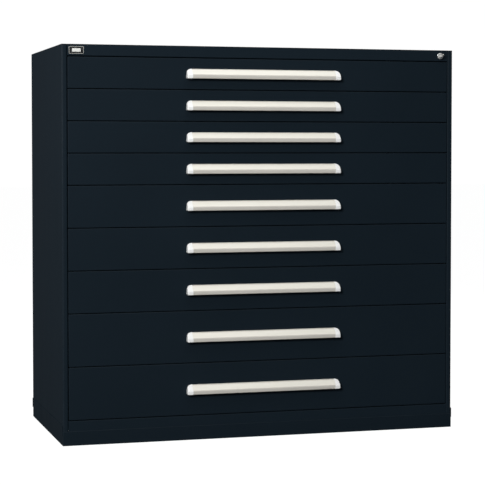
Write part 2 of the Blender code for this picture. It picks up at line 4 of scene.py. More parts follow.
import bmesh
import bpy
import numpy as np
from bpy.props import FloatProperty, FloatVectorProperty, IntProperty, PointerProperty
from bpy.types import Operator, Panel, PropertyGroup
from mathutils import Matrix, Vector


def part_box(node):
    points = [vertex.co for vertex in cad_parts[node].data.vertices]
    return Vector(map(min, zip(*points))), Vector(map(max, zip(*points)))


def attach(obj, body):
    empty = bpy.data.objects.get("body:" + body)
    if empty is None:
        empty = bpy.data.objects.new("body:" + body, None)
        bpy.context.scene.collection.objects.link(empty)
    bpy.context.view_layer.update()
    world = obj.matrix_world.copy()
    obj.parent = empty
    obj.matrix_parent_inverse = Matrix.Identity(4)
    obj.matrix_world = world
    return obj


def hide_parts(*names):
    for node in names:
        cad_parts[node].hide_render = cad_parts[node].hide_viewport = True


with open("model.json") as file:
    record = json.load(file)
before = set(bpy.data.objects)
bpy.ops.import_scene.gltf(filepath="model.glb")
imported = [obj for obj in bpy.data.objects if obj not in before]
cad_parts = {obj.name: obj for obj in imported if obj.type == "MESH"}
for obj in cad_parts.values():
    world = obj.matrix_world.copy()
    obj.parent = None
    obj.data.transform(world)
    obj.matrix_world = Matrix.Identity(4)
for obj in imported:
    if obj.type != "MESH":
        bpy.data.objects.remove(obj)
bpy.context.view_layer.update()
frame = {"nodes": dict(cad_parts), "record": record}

bl_info = {
    "name": "Industrial Chest of Drawers",
    "version": (1, 0, 0),
    "blender": (4, 5, 0),
    "location": "View3D > Sidebar > Chest",
    "description": "Finishes a sheet-steel chest of drawers with pulls, slides, a lock and paint",
    "category": "Object",
}

# The frame, and what is measured on it.
DRAWERS = range(1, 10)
SIDES = (("left", -1), ("right", 1))
FACE_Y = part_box("top_panel")[0].y

# Where a flat form lies: its own across, up and depth directions in the row's frame.
FACING_FRONT = np.array([(1, 0, 0), (0, 0, 1), (0, 1, 0)], float)
FACING_UP = np.array([(1, 0, 0), (0, 1, 0), (0, 0, -1)], float)
FACING_SIDE = np.array([(0, 1, 0), (0, 0, 1), (1, 0, 0)], float)

# Small sizes that stay the same, in metres.
CLEARANCE = 0.0003  # between neighbouring surfaces
FLANGE_SHEET = 0.0015  # the thickness of the flanges behind the seams
STILE_HEM = 0.012  # how deep a stile's inner edge turns back
FRONT_DEPTH = 0.014  # how deep a drawer front is pressed
CATCH_DROP = 0.020  # from a front's upper edge down to its catch
CATCH_WIDTH = 0.008
PULL_FOLD = 0.0018  # the bends of the extrusion's middle line
CARD_GAP = 0.00005  # between a label strip and the face it lies on
CARD = 0.00035  # a label strip's thickness
WELD_INSETS = (0.009, 0.010)  # from the back's side edges, and from its upper and lower ones
WELD_RADIUS = 0.0024


# Sizes and colours that a user would change.


def length(label, text, size):
    return FloatProperty(name=label, description=text, default=size, unit="LENGTH", precision=4)


def bearing(label, text, degrees):
    return FloatProperty(name=label, description=text, default=radians(degrees), subtype="ANGLE")


def share(label, text, amount):
    return FloatProperty(
        name=label, description=text, default=amount, min=0, max=1, subtype="FACTOR"
    )


def tint(label, text, colour):
    return FloatVectorProperty(
        name=label, description=text, default=colour, min=0, max=1, size=3, subtype="COLOR"
    )


class SheetMetalSettings(PropertyGroup):
    paint: tint("Paint", "Colour of the powder coat", (0.0085, 0.0150, 0.0215))
    # The paler colour on the bends: partly the thin coat there, partly a painted highlight along
    # the edges
    thin_paint_and_highlight: tint("Paint on bends", "Colour of the thin coat on a bend", (0.022, 0.030, 0.038))
    gloss: share("Roughness", "Mean roughness of the powder coat", 0.46)
    front_bend: length("Front bend", "Outer radius where a drawer front's edge turns back", 0.0017)
    stile_bend: length("Stile bend", "Outer radius where a side turns into its stile", 0.0048)
    front_sheet: length("Front sheet", "Thickness of a drawer front's sheet", 0.0015)
    housing_sheet: length("Housing sheet", "Thickness of the housing's sheet", 0.002)
    return_flange: length("Return flange", "Height of the flanges behind the seams", 0.012)


class PullSettings(PropertyGroup):
    wall: length("Wall", "Thickness of the extrusion", 0.002)
    shoulder: length("Shoulder", "How far the hood's flat top stands out", 0.0055)
    flange: length("Flange", "Height of the flange on the drawer's face", 0.014)
    lip: length("Lip", "Height of the finger lip", 0.0125)
    lip_lean: length("Lip lean", "How far the lip leans back at its foot", 0.0016)
    curl: length("Curl", "Depth of the lip's foot, where the fingers hold it", 0.0045)
    crown: length("Crown", "How far the label face swells", 0.0009)
    bead: length("Bead", "Height of the beads that hold the label", 0.0007)
    cap_length: length("Cap length", "Length of an end cap along the pull", 0.022)
    cap_corner: length("Cap corner", "Radius of an end cap's upper corner", 0.0135)
    cap_flare: length("Cap flare", "How much further a cap's foot reaches than its corner", 0.0035)
    enamel: tint("Enamel", "Colour of the extrusion", (0.68, 0.65, 0.585))
    label: tint("Label", "Colour of the label strip", (0.95, 0.92, 0.82))
    cap: tint("Cap", "Colour of the end caps", (0.98, 0.98, 0.96))


class SlideSettings(PropertyGroup):
    roller_radius: length("Roller radius", "Radius of a slide's roller", 0.011)
    roller_width: length("Roller width", "Width of a slide's roller", 0.014)
    bar_sheet: length("Bar", "Thickness of the carrier bar", 0.003)
    end: length("End", "From a bar's end to its last roller", 0.020)
    rollers: IntProperty(
        name="Rollers", description="Rollers on each face of a bar", default=3, min=2
    )
    span: length("Span", "From the first roller of a row to the last", 0.260)


class LockSettings(PropertyGroup):
    bezel_radius: length("Bezel radius", "Radius of the lock's round flange", 0.012)
    bezel_depth: length("Bezel depth", "How far the flange stands out", 0.003)
    case_radius: length("Case radius", "Radius of the barrel behind the flange", 0.0095)
    bore_radius: length("Bore radius", "Radius of the hole that the plug turns in", 0.0063)
    bow_radius: length("Bow radius", "Radius of the key's bow", 0.0105)
    bow_hole: length("Bow hole", "Radius of the hole in the key's bow", 0.0042)
    key_sheet: length("Key thickness", "Thickness of the key", 0.002)
    blade: length("Blade", "Width of the key's blade", 0.007)
    turn: bearing("Key angle", "The key's angle from level", 45)


class StudioSettings(PropertyGroup):
    lens: FloatProperty(
        name="Lens", description="Focal length on a 36 mm sensor", default=121.9, min=20
    )
    camera: FloatVectorProperty(
        name="Camera", description="Where the camera stands", default=(-1.7794, -6.2312, 1.0847),
        size=3, subtype="TRANSLATION", unit="LENGTH",
    )
    heading: bearing("Heading", "The camera's turn to the right", 16.07)
    rise: FloatProperty(name="Rise", description="The camera's vertical shift", default=-0.0642)
    dip: bearing("Dip", "How far the camera looks down", 2.2)


SETTINGS = {
    "chest_sheet": SheetMetalSettings,
    "chest_pull": PullSettings,
    "chest_slide": SlideSettings,
    "chest_lock": LockSettings,
    "chest_studio": StudioSettings,
}


# Surfaces. All but the back are rows of loops of points, each loop closed on itself.


def skin(points, hollow=False, wear=None):
    """A closed surface over rows of loops, as its points, its faces and how much each point is
    marked as a bend, where the paint is paler: partly a thin coat, partly a painted highlight.

    Row i, column j is joined to row i + 1, column j + 1 by one quad. A hollow form's last
    row meets its first one; otherwise a flat face closes each end.
    """
    rows, columns = points.shape[:2]
    joined = rows if hollow else rows - 1
    row, column = np.meshgrid(np.arange(joined), np.arange(columns), indexing="ij")
    below = (row + 1) % rows
    beside = (column + 1) % columns
    corners = (
        row * columns + column,
        row * columns + beside,
        below * columns + beside,
        below * columns + column,
    )
    faces = np.stack(corners, axis=-1).reshape(-1, 4).tolist()
    if not hollow:
        faces.append(list(range(columns))[::-1])
        faces.append(list(range((rows - 1) * columns, rows * columns)))
    worn = np.zeros(rows) if wear is None else np.asarray(wear, float)
    return points.reshape(-1, 3), faces, np.repeat(worn, columns)


def lay(across, up, depth, origin, axes):
    """Points in the row's frame: origin + across, up and depth along the three axes."""
    local = np.stack(np.broadcast_arrays(across, up, depth), axis=-1)
    return np.asarray(origin, float) + local @ axes


def stepped(width, height, corner, insets, depths, origin, axes, hollow=False, wear=None):
    """A rectangular form with rounded corners, built of loops like terraces.

    Loop i is the rectangle drawn in by insets[i] at depths[i]. Its corner radius is corner -
    inset, but never below zero, and its corner points are centre + radius times (cos t, sin t).
    """
    steps = np.linspace(0, pi / 2, 6)
    angle = np.concatenate([steps + quarter * pi / 2 for quarter in range(4)])
    side_x = np.repeat((1, -1, -1, 1), len(steps))
    side_y = np.repeat((1, 1, -1, -1), len(steps))
    inset = np.asarray(insets, float)[:, None]
    radius = np.maximum(corner - inset, 0.0)
    across = side_x * (width / 2 - inset - radius) + radius * np.cos(angle)
    up = side_y * (height / 2 - inset - radius) + radius * np.sin(angle)
    points = lay(across, up, np.asarray(depths, float)[:, None], origin, axes)
    return skin(points, hollow, wear)


def plate(width, height, corner, thickness, edge, origin, axes):
    """A flat plate whose edges are rounded: inset = edge (1 - sin t), depth = edge (1 - cos t)."""
    t = np.linspace(0, pi / 2, 5)
    round_in = edge * (1 - np.sin(t))
    round_down = edge * (1 - np.cos(t))
    insets = np.concatenate([round_in, round_in[::-1]])
    depths = np.concatenate([round_down, thickness - round_down[::-1]])
    return stepped(width, height, corner, insets, depths, origin, axes)


def tray(width, height, depth, bend, sheet, origin, axes):
    """A tray pressed from one sheet: its face, a quarter-round bend, its wall, and the same inside.

    Outside, inset = bend (1 - sin t) and depth = bend (1 - cos t); inside, both are a sheet
    further in, round the same centre.
    """
    t = np.linspace(0, pi / 2, 7)
    inner = max(bend - sheet, 0.0002)
    outer_in = bend * (1 - np.sin(t))
    outer_down = bend * (1 - np.cos(t))
    inner_in = sheet + inner * (1 - np.sin(t))
    inner_down = sheet + inner * (1 - np.cos(t))
    margin = 4 * bend
    insets = np.concatenate([[margin], outer_in, [0.0, sheet], inner_in[::-1], [margin]])
    depths = np.concatenate([[0.0], outer_down, [depth, depth], inner_down[::-1], [sheet]])
    # Marks the bends and the edge wall for the paler bend colour: partly the thin coat there,
    # partly a painted highlight along the edges
    wear = np.concatenate([[0.0], np.sin(2 * t), [0.5, 0.5], np.zeros(8)])
    return stepped(width, height, bend, insets, depths, origin, axes, wear=wear)


def carried(outline, near, far, axis, wear=None):
    """A straight bar: a closed outline in two of the frame's directions, run along the third."""
    count = len(outline)
    points = np.empty((2, count, 3))
    points[0, :, axis] = near
    points[1, :, axis] = far
    others = [i for i in range(3) if i != axis]
    points[:, :, others] = outline
    points, faces, unmarked = skin(points)
    return points, faces, unmarked if wear is None else np.tile(wear, 2)


def block(low, high):
    """A square-edged bar between two opposite corners."""
    (x, y, z), (far_x, far_y, far_z) = low, high
    outline = np.array([(x, y), (far_x, y), (far_x, far_y), (x, far_y)])
    return carried(outline, z, far_z, 2)


def turned(profile, centre, axis, hollow=False, steps=32):
    """A turned form: centre + place along the axis + radius (cos t, sin t) across it.

    profile holds (radius, place) from end to end; a hollow form's profile closes on itself.
    """
    profile = np.asarray(profile, float)
    t = np.linspace(0, 2 * pi, steps, endpoint=False)
    axis = Vector(axis).normalized()
    side = np.array(axis.orthogonal().normalized())
    up = np.cross(np.array(axis), side)
    ring = np.cos(t)[:, None] * side + np.sin(t)[:, None] * up
    along = profile[:, 1][:, None, None] * np.array(axis)
    points = np.asarray(centre, float) + along + profile[:, 0][:, None, None] * ring
    return skin(points, hollow)


def rounded_line(corners, radius, steps=8):
    """A line whose corners are arcs, with its left-hand normals.

    An arc of that radius touches both sides of its corner: its centre lies on their bisector,
    radius / sin(half the angle) away, and its points are centre + radius (cos t, sin t).
    """
    corners = np.asarray(corners, float)
    points = [corners[:1]]
    legs = np.diff(corners, axis=0)
    legs /= np.linalg.norm(legs, axis=1)[:, None]
    lefts = np.stack([-legs[:, 1], legs[:, 0]], axis=1)
    normals = [lefts[:1]]
    for before, after, left, corner in zip(legs, legs[1:], lefts, corners[1:]):
        bend = np.arctan2(before[0] * after[1] - before[1] * after[0], before @ after)
        side = np.sign(bend)
        start = corner - before * radius * tan(abs(bend) / 2)
        centre = start + left * radius * side
        t = np.linspace(0, bend, steps + 1)
        turn = np.outer(np.cos(t), left) + np.outer(np.sin(t), (-left[1], left[0]))
        normals.append(turn)
        points.append(centre - turn * radius * side)
    points.append(corners[-1:])
    normals.append(lefts[-1:])
    return np.concatenate(points), np.concatenate(normals)


def evenly(points, normals, step):
    """The same line with points a step apart along its length, and how far along each one is."""
    spans = np.linalg.norm(np.diff(points, axis=0), axis=1)
    along = np.concatenate([[0.0], np.cumsum(spans)])
    places = np.linspace(0, along[-1], int(along[-1] / step) + 1)
    even = np.stack([np.interp(places, along, points[:, i]) for i in range(2)], axis=1)
    facing = np.stack([np.interp(places, along, normals[:, i]) for i in range(2)], axis=1)
    facing /= np.linalg.norm(facing, axis=1)[:, None]
    return even, facing, places


def folded(corners, sheet, outer_bend):
    """The outline of a folded sheet: its middle line moved half a sheet to each side."""
    points, normals = rounded_line(corners, outer_bend - sheet / 2)
    return np.concatenate([points + normals * sheet / 2, (points - normals * sheet / 2)[::-1]])


def finish_piece(name, shapes, material, body, slot, replaces=()):
    """One object from closed surfaces, riding on its body, with its normals facing out."""
    starts = np.cumsum([0] + [len(points) for points, _, _ in shapes])
    points = np.concatenate([points for points, _, _ in shapes])
    worn = np.concatenate([wear for _, _, wear in shapes])
    faces = []
    for start, (_, own, _) in zip(starts, shapes):
        faces += [[corner + int(start) for corner in face] for face in own]
    mesh = bpy.data.meshes.new(name)
    mesh.from_pydata(points.tolist(), [], faces)
    # The bend mark, for the paler bend colour: partly the thin coat there, partly a painted
    # highlight
    mesh.attributes.new("worn", "FLOAT", "POINT").data.foreach_set("value", worn.astype(np.float32))
    shape = bmesh.new()
    shape.from_mesh(mesh)
    bmesh.ops.remove_doubles(shape, verts=shape.verts, dist=1e-6)
    bmesh.ops.dissolve_degenerate(shape, edges=shape.edges, dist=1e-6)
    bmesh.ops.recalc_face_normals(shape, faces=shape.faces)
    shape.to_mesh(mesh)
    shape.free()
    mesh.shade_smooth()
    mesh.set_sharp_from_angle(angle=radians(35))
    mesh.materials.append(material)
    piece = bpy.data.objects.new(name, mesh)
    bpy.context.scene.collection.objects.link(piece)
    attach(piece, body)
    if replaces:
        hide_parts(*replaces)


# Finishes.


class Reading:
    """A shader value. In an expression, it adds the Math nodes that work the expression out."""

    def __init__(self, finish, socket):
        self.finish = finish
        self.socket = socket

    def __add__(self, other):
        return self.finish.math("ADD", self, other)

    def __sub__(self, other):
        return self.finish.math("SUBTRACT", self, other)

    def __rsub__(self, other):
        return self.finish.math("SUBTRACT", other, self)

    def __mul__(self, other):
        return self.finish.math("MULTIPLY", self, other)

    __radd__ = __add__
    __rmul__ = __mul__


class Finish:
    """The nodes of one material, round a Principled shader."""

    def __init__(self, name):
        self.material = bpy.data.materials.new(name)
        self.material.use_nodes = True
        self.tree = self.material.node_tree
        self.shader = self.tree.nodes["Principled BSDF"]

    def node(self, kind, settings, inputs, output=0):
        """Adds a shader node, makes its settings, then gives its sockets their values or links."""
        made = self.tree.nodes.new("ShaderNode" + kind)
        for key, value in settings.items():
            if key != "stops":
                setattr(made, key, value)
                continue
            for _ in value[2:]:
                made.color_ramp.elements.new(0.5)
            for element, (place, level) in zip(made.color_ramp.elements, value):
                element.position = place
                element.color = (level, level, level, 1)
        for key, value in inputs.items():
            self.join(value, made.inputs[key])
        return Reading(self, made.outputs[output])

    def join(self, value, socket):
        """Links a reading to a socket, or sets the socket to a plain value."""
        if isinstance(value, Reading):
            self.tree.links.new(value.socket, socket)
        else:
            socket.default_value = value

    def math(self, operation, first, second=0.0):
        return self.node("Math", {"operation": operation}, {0: first, 1: second})

    def place(self):
        """Where a point is on its object, in metres."""
        return self.node("TexCoord", {}, {}, "Object")

    def stretched(self, x, y, z):
        """The place, with each direction's distances multiplied."""
        return self.node("VectorMath", {"operation": "MULTIPLY"}, {0: self.place(), 1: (x, y, z)})

    def noise(self, scale, detail=2.0, place=None):
        """Smooth random values from 0 to 1, whose size is about 1 / scale metres."""
        inputs = {"Vector": place or self.place(), "Scale": scale, "Detail": detail}
        return self.node("TexNoise", {}, inputs, "Fac")

    def ramp(self, value, *stops):
        """The value passed through a curve of (place, level) stops."""
        return self.node("ValToRGB", {"stops": stops}, {"Fac": value})

    def blend(self, share, first, second):
        """A colour between two others."""
        inputs = {0: share, 6: self.colour(first), 7: self.colour(second)}
        return self.node("Mix", {"data_type": "RGBA"}, inputs, 2)

    def colour(self, value):
        return value if isinstance(value, Reading) else (*value, 1.0)

    def worn(self):
        """How much a point is marked as a bend, from 0 to 1, on the pieces that say so: partly the
        thin coat there, partly a painted highlight.
        """
        return self.node("Attribute", {"attribute_name": "worn"}, {}, "Fac")

    def bump(self, height, distance, strength=1.0):
        inputs = {"Height": height, "Distance": distance, "Strength": strength}
        return self.node("Bump", {}, inputs, "Normal")

    def wear(self, colour, roughness, normal=None, metallic=None, **constants):
        """Gives the shader what changes over the surface, and its plain values."""
        self.join(colour, self.shader.inputs["Base Color"])
        self.join(roughness, self.shader.inputs["Roughness"])
        if normal is not None:
            self.join(normal, self.shader.inputs["Normal"])
        if metallic is not None:
            self.join(metallic, self.shader.inputs["Metallic"])
        for key, value in constants.items():
            self.shader.inputs[key.replace("_", " ")].default_value = value
        return self.material


def scaled(colour, factor):
    """A colour made lighter or darker."""
    return tuple(channel * factor for channel in colour)


def powder_coat(name, shade=1.0, rubbed=0.0):
    """Satin powder coat: orange peel, flecks and faint clouds, paler on the bends, dusty on top.
    The paler bends are partly the thin coat there and partly a painted highlight along the edges.

    Where it is rubbed, it has long scuffs too.
    """
    sheet = bpy.context.scene.chest_sheet
    finish = Finish(name)
    clouds = finish.noise(2.3, 4.0)
    flecks = finish.ramp(finish.noise(1400.0, 1.0), (0.45, 0.0), (0.72, 1.0))
    streaks = finish.noise(1.0, 3.0, finish.stretched(9.0, 9.0, 1.3))
    # Where the bends are marked: partly the thin coat there, partly a painted highlight
    thin_and_highlight = finish.worn() * finish.ramp(finish.noise(60.0, 3.0), (0.3, 0.35), (0.7, 1.0))
    upward = finish.node("SeparateXYZ", {}, {0: finish.node("NewGeometry", {}, {}, "Normal")}, "Z")
    settled = finish.ramp(finish.noise(14.0, 6.0), (0.3, 0.15), (0.75, 0.5))
    dust = finish.ramp(upward, (0.85, 0.0), (1.0, 1.0)) * settled
    base = scaled(sheet.paint, shade)
    colour = finish.blend(clouds, scaled(base, 0.86), scaled(base, 1.14))
    colour = finish.blend(flecks * 0.22, colour, scaled(base, 1.9))
    # Blends in the paler bend colour: partly a thin coat, partly a painted highlight
    colour = finish.blend(thin_and_highlight * 0.55, colour, sheet.thin_paint_and_highlight)
    colour = finish.blend(dust * 0.06, colour, (0.30, 0.29, 0.27))
    roughness = sheet.gloss + (clouds - 0.5) * 0.10 + (streaks - 0.5) * 0.08
    roughness = roughness - thin_and_highlight * 0.08 + dust * 0.15
    if rubbed:
        scuffs = finish.noise(5.0, 6.0, finish.stretched(1.0, 3.0, 7.0))
        marks = finish.ramp(scuffs, (0.56, 0.0), (0.64, 1.0)) * rubbed
        colour = finish.blend(marks, colour, scaled(base, 2.6))
        roughness = roughness - marks * 0.12
    peel = finish.noise(520.0, 2.0) * 0.7 + finish.noise(1700.0, 1.0) * 0.3
    ripple = finish.noise(7.0, 2.0)
    normal = finish.bump(peel * 0.00016 + ripple * 0.0009, 1.0, 0.55)
    return finish.wear(colour, roughness, normal, Specular_IOR_Level=0.06)


def zinc_plate(name):
    """Rolled and zinc-plated steel: long streaks, cloudy spangle and a few dull spots."""
    finish = Finish(name)
    streaks = finish.noise(1.0, 5.0, finish.stretched(260.0, 6.0, 260.0))
    spangle = finish.node("TexVoronoi", {}, {"Vector": finish.place(), "Scale": 95.0}, "Distance")
    dull = finish.ramp(finish.noise(22.0, 5.0), (0.52, 0.0), (0.68, 1.0))
    colour = finish.blend(streaks, (0.44, 0.45, 0.46), (0.66, 0.66, 0.65))
    colour = finish.blend(spangle * 0.35, colour, (0.72, 0.72, 0.70))
    colour = finish.blend(dull * 0.35, colour, (0.33, 0.33, 0.33))
    roughness = 0.26 + streaks * 0.14 + dull * 0.16
    normal = finish.bump(streaks * 0.00005 + finish.noise(800.0, 2.0) * 0.00004, 1.0, 0.6)
    return finish.wear(colour, roughness, normal, 0.92 - dull * 0.25)


def pull_enamel(name):
    """Warm grey enamel on the extrusion, with die lines along it."""
    pull = bpy.context.scene.chest_pull
    finish = Finish(name)
    lines = finish.noise(1.0, 2.0, finish.stretched(2.0, 2100.0, 2100.0))
    clouds = finish.noise(9.0, 4.0)
    touched = finish.ramp(finish.noise(16.0, 5.0), (0.50, 0.0), (0.70, 1.0))
    colour = finish.blend(clouds, scaled(pull.enamel, 0.95), scaled(pull.enamel, 1.05))
    colour = finish.blend(touched * 0.10, colour, scaled(pull.enamel, 0.74))
    roughness = 0.36 + clouds * 0.08 - touched * 0.06
    normal = finish.bump(lines * 0.00006 + finish.noise(900.0, 1.0) * 0.00005, 1.0, 0.6)
    return finish.wear(colour, roughness, normal, Specular_IOR_Level=0.45)


def moulded_plastic(name):
    """White moulded plastic, faintly grained, with a little dirt in its tone."""
    pull = bpy.context.scene.chest_pull
    finish = Finish(name)
    clouds = finish.noise(60.0, 4.0)
    specks = finish.ramp(finish.noise(420.0, 2.0), (0.68, 0.0), (0.78, 1.0))
    colour = finish.blend(clouds, scaled(pull.cap, 0.96), pull.cap)
    colour = finish.blend(specks * 0.08, colour, (0.55, 0.52, 0.46))
    roughness = 0.28 + clouds * 0.10
    normal = finish.bump(finish.noise(1500.0, 1.0) * 0.00003, 1.0, 0.5)
    return finish.wear(colour, roughness, normal, Specular_IOR_Level=0.5)


def label_card(name):
    """A blank card strip behind clear film: paper fibres, slow yellowing, and the film's gloss."""
    pull = bpy.context.scene.chest_pull
    finish = Finish(name)
    fibres = finish.noise(1.0, 4.0, finish.stretched(500.0, 1400.0, 1400.0))
    age = finish.noise(3.0, 3.0)
    colour = finish.blend(age, pull.label, scaled(pull.label, 0.93))
    colour = finish.blend(fibres * 0.16, colour, (0.78, 0.72, 0.62))
    roughness = 0.40 + fibres * 0.12
    film = finish.ramp(finish.noise(30.0, 3.0), (0.2, 0.35), (0.8, 0.6))
    finish.join(film, finish.shader.inputs["Coat Weight"])
    normal = finish.bump(fibres * 0.00003, 1.0, 0.5)
    return finish.wear(colour, roughness, normal, Coat_Roughness=0.12)


def plated(name, colour, roughness, scratch):
    """Bright plating with fine hairline scratches and a few dull touches."""
    finish = Finish(name)
    hairs = finish.noise(1.0, 3.0, finish.stretched(300.0, 300.0, 4200.0))
    touched = finish.noise(160.0, 4.0)
    tone = finish.blend(touched, scaled(colour, 0.86), colour)
    dullness = roughness + touched * 0.12 + hairs * scratch
    normal = finish.bump(hairs * 0.00003, 1.0, 0.5)
    return finish.wear(tone, dullness, normal, 0.72 + touched * 0.1)


def dark_enamel(name):
    """The name plate's dark enamel, glossy with pin specks."""
    finish = Finish(name)
    specks = finish.ramp(finish.noise(2600.0, 1.0), (0.6, 0.0), (0.75, 1.0))
    tone = finish.blend(specks, (0.016, 0.017, 0.018), (0.05, 0.05, 0.05))
    roughness = 0.24 + finish.noise(300.0, 3.0) * 0.14
    return finish.wear(tone, roughness, finish.bump(specks * 0.00002, 1.0, 0.4))


def pale_enamel(name, colour):
    """The pale enamel of the name plate's frame and blank field, a little rubbed."""
    finish = Finish(name)
    rubbed = finish.noise(420.0, 4.0)
    tone = finish.blend(rubbed, scaled(colour, 0.82), colour)
    return finish.wear(tone, 0.30 + rubbed * 0.18, finish.bump(rubbed * 0.00003, 1.0, 0.5))


def studio_floor(name):
    """A pale floor, lit from within like a light table, so that it takes hardly any shadow."""
    finish = Finish(name)
    mottle = finish.noise(1.6, 3.0)
    tone = finish.blend(mottle, (0.10, 0.10, 0.10), (0.11, 0.11, 0.11))
    glow = {"Emission_Color": (1.0, 1.0, 1.0, 1.0), "Emission_Strength": 0.985}
    return finish.wear(tone, 0.62 + mottle * 0.08, Specular_IOR_Level=0.0, **glow)


MAKERS = {
    "housing_paint": lambda name: powder_coat(name, 1.0),
    "drawer_paint": lambda name: powder_coat(name, 0.96),
    "base_paint": lambda name: powder_coat(name, 0.93),
    "drawer_box_paint": lambda name: powder_coat(name, 1.25, 0.32),
    "zinc_plated_steel": zinc_plate,
    "handle_cream": pull_enamel,
    "handle_cap_white": moulded_plastic,
    "label_paper": label_card,
    "lock_chrome": lambda name: plated(name, (0.95, 0.95, 0.93), 0.24, 0.10),
    "key_nickel": lambda name: plated(name, (0.74, 0.73, 0.70), 0.30, 0.14),
    "plate_face": dark_enamel,
    "plate_frame": lambda name: pale_enamel(name, (0.50, 0.50, 0.46)),
    "plate_field": lambda name: pale_enamel(name, (0.95, 0.95, 0.90)),
    "floor": studio_floor,
}


def material_for(slot):
    """The finish of one slot, made once."""
    name = slot + "_finish"
    return bpy.data.materials.get(name) or MAKERS[slot](name)


def piece(name, shapes, slot, body, replaces=(), finish=None):
    """A finished piece in a slot's own finish, or in another one."""
    finish_piece(name, shapes, material_for(finish or slot), body, slot, replaces)


# Pieces.


class CHEST_OT_housing(Operator):
    """Makes the housing's folded sides with their stiles, its top and the flanges at its seams"""

    bl_idname = "chest.housing"
    bl_label = "Housing"

    def execute(self, context):
        sheet = context.scene.chest_sheet
        wall = sheet.housing_sheet
        for word, side in SIDES:
            node = word + "_side_panel"
            low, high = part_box(node)
            skin_x = max(abs(low.x), abs(high.x))
            inner_x = min(abs(low.x), abs(high.x))
            hem = FACE_Y + STILE_HEM
            corners = [
                (inner_x + wall / 2, hem),
                (inner_x + wall / 2, FACE_Y + wall / 2),
                (skin_x - wall / 2, FACE_Y + wall / 2),
                (skin_x - wall / 2, high.y - wall / 2),
                (inner_x, high.y - wall / 2),
            ]
            outline = folded(corners, wall, sheet.stile_bend) * (side, 1)
            # Marks the stile's bend, strongest at its middle, for the paler bend colour: a painted
            # highlight along the front edge, partly also the thin coat there
            corner = np.hypot(np.abs(outline[:, 0]) - skin_x, outline[:, 1] - FACE_Y)
            bends = np.exp(-((corner / (0.8 * sheet.stile_bend)) ** 2))
            shape = carried(outline, low.z, high.z + 0.0002, 2, bends)
            piece(node + "_sheet", [shape], "housing_paint", "cabinet", [node])
        low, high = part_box("top_panel")
        size = high - low
        middle = (low + high) / 2
        origin = (middle.x, middle.y, high.z)
        top = plate(size.x, size.y, 0.003, size.z, edge=0.0009, origin=origin, axes=FACING_UP)
        piece("top_sheet", [top], "housing_paint", "cabinet", ["top_panel"])
        turned_in = [self.rear_flange(low, sheet), *self.rail_tabs(sheet), *self.floor_ledges()]
        piece("return_flanges", turned_in, "housing_paint", "cabinet")
        return {"FINISHED"}

    def rear_flange(self, top_low, sheet):
        """The flange turned down inside the back, which closes the slit under the top."""
        reach = min(abs(end.x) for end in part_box("left_side_panel")) - 0.0005
        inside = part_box("back_panel")[0].y - CLEARANCE
        foot = top_low.z - sheet.return_flange
        return block((-reach, inside - FLANGE_SHEET, foot), (reach, inside, top_low.z - 0.0001))

    def rail_tabs(self, sheet):
        """The tabs turned back at the ends of the rail under the drawers."""
        low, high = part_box("floor_pan")
        front = FACE_Y + sheet.housing_sheet + 0.0001
        rear = front + sheet.return_flange
        top = high.z - sheet.housing_sheet - 0.0005
        for side in (-1, 1):
            yield block(
                (side * high.x, front, low.z + 0.003),
                (side * (high.x - FLANGE_SHEET), rear, top),
            )

    def floor_ledges(self):
        """The ledges between the floor and each side, just above the base."""
        low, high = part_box("floor_pan")
        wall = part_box("right_side_panel")[1].x - 0.0023
        foot = low.z + 0.0012
        for side in (-1, 1):
            yield block(
                (side * (high.x - 0.0005), FACE_Y + STILE_HEM + 0.0005, foot),
                (side * wall, high.y - 0.0024, foot + FLANGE_SHEET),
            )


class CHEST_OT_base(Operator):
    """Makes the kick plate: a pressed cover whose edges are rolled back to the frame"""

    bl_idname = "chest.base"
    bl_label = "Base"

    def execute(self, context):
        low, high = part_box("base_front_cover")
        size = high - low
        middle = (low + high) / 2
        height = high.z - CLEARANCE
        origin = (middle.x, low.y, CLEARANCE + height / 2)
        bend = 0.6 * size.y
        sheet = 0.5 * size.y
        cover = tray(size.x, height, size.y, bend, sheet, origin, FACING_FRONT)
        piece("kick_plate", [cover], "base_paint", "cabinet", ["base_front_cover"])
        return {"FINISHED"}


class CHEST_OT_drawer_fronts(Operator):
    """Makes the pressed drawer fronts and the catch behind each one"""

    bl_idname = "chest.drawer_fronts"
    bl_label = "Drawer Fronts"

    def execute(self, context):
        sheet = context.scene.chest_sheet
        for number in DRAWERS:
            node = f"drawer_{number}_front"
            body = f"drawer_{number}"
            low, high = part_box(node)
            size = high - low
            middle = (low + high) / 2
            origin = (middle.x, low.y, middle.z)
            bends = (sheet.front_bend, sheet.front_sheet)
            front = tray(size.x, size.z, FRONT_DEPTH, *bends, origin, FACING_FRONT)
            piece(node + "_pressing", [front], "drawer_paint", body, [node])
            leg = high.y - 0.001
            level = high.z - CATCH_DROP
            corners = [(low.y + 0.0035, level), (leg, level), (leg, level - 0.008)]
            strap = folded(corners, sheet=0.002, outer_bend=0.003)
            end = high.x - 0.0017
            catch = carried(strap, end - CATCH_WIDTH, end, 0)
            piece(f"drawer_{number}_catch", [catch], "zinc_plated_steel", body)
        return {"FINISHED"}


